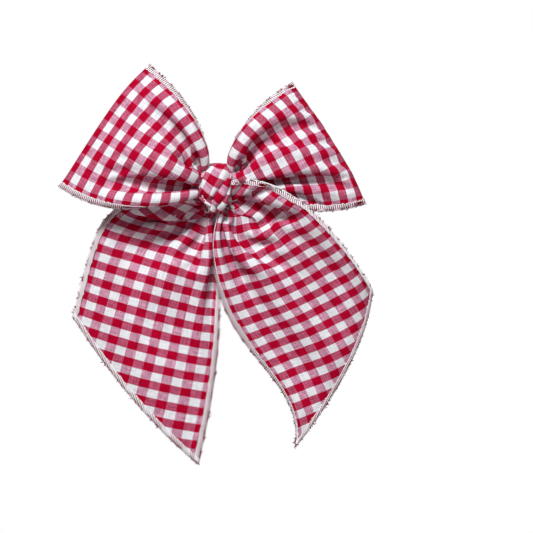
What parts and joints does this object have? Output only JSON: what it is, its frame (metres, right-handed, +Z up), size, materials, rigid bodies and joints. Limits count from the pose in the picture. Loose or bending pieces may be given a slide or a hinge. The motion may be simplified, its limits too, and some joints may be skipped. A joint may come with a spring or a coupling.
{
  "type": "hair bow",
  "caption": "Gathered fabric hair bow with paired loops and pointed tails, overlocked edges and a wrapped knot on a sprung hair clip.",
  "frame": {"origin": "the middle of the clip's flat back face, which lies against the head, straight behind the knot's centre", "axes": "+X to the right as seen from the front, +Y from the bow towards the head, +Z up; the bow's front faces -Y"},
  "size_m": [0.1599, 0.026, 0.2025],
  "materials": {
    "gingham": "red and white woven cotton check",
    "overlock_thread": "white three-thread overlock stitching",
    "sewing_thread": "white twisted polyester thread",
    "glue": "milky hot-melt glue",
    "clip_steel": "bright nickel plate with fine rolling marks",
    "pin_steel": "turned steel",
    "spring_wire": "drawn spring wire",
    "grosgrain": "white ribbed ribbon"
  },
  "bodies": {
    "bow_centre": {"knot_wrap": "gingham", "knot_wrap_edging": "overlock_thread", "knot_stitches": "sewing_thread", "waist_gather": "gingham", "binding_thread": "sewing_thread", "glue_pad": "glue", "clip_fixed_arm": "clip_steel", "clip_pivot_pin": "pin_steel", "clip_spring": "spring_wire", "clip_lining": "grosgrain"},
    "clip_jaw": {"clip_moving_arm": "clip_steel"},
    "left_loop": {"left_loop": "gingham", "left_loop_edging": "overlock_thread"},
    "right_loop": {"right_loop": "gingham", "right_loop_edging": "overlock_thread"},
    "left_tail": {"left_tail": "gingham", "left_tail_edging": "overlock_thread"},
    "right_tail": {"right_tail": "gingham", "right_tail_edging": "overlock_thread"}
  },
  "joints": [
    {"name": "clip_hinge", "type": "hinge", "parent": "bow_centre", "child": "clip_jaw", "pos_m": [-0.013, -0.0036, 0], "axis": [0, 0, 1], "range_deg": [0, 34], "stiffness_Nm_per_rad": 0.02, "springref_deg": -22.92, "deforming": ["clip_spring"]},
    {"name": "left_loop_flex", "type": "hinge", "parent": "bow_centre", "child": "left_loop", "pos_m": [-0.0108, -0.0155, 0], "axis": [0, 0, 1], "range_deg": [0, 25], "stiffness_Nm_per_rad": 0.004},
    {"name": "right_loop_flex", "type": "hinge", "parent": "bow_centre", "child": "right_loop", "pos_m": [0.0104, -0.0128, 0], "axis": [0, 0, -1], "range_deg": [-12, 2], "stiffness_Nm_per_rad": 0.004},
    {"name": "left_tail_flex", "type": "hinge", "parent": "bow_centre", "child": "left_tail", "pos_m": [-0.004, -0.0085, -0.006], "axis": [-1, 0, 0], "range_deg": [-25, 0], "stiffness_Nm_per_rad": 0.002},
    {"name": "right_tail_flex", "type": "hinge", "parent": "bow_centre", "child": "right_tail", "pos_m": [0.008, -0.018, 0.004], "axis": [-1, 0, 0], "range_deg": [0, 50], "stiffness_Nm_per_rad": 0.002}
  ]
}
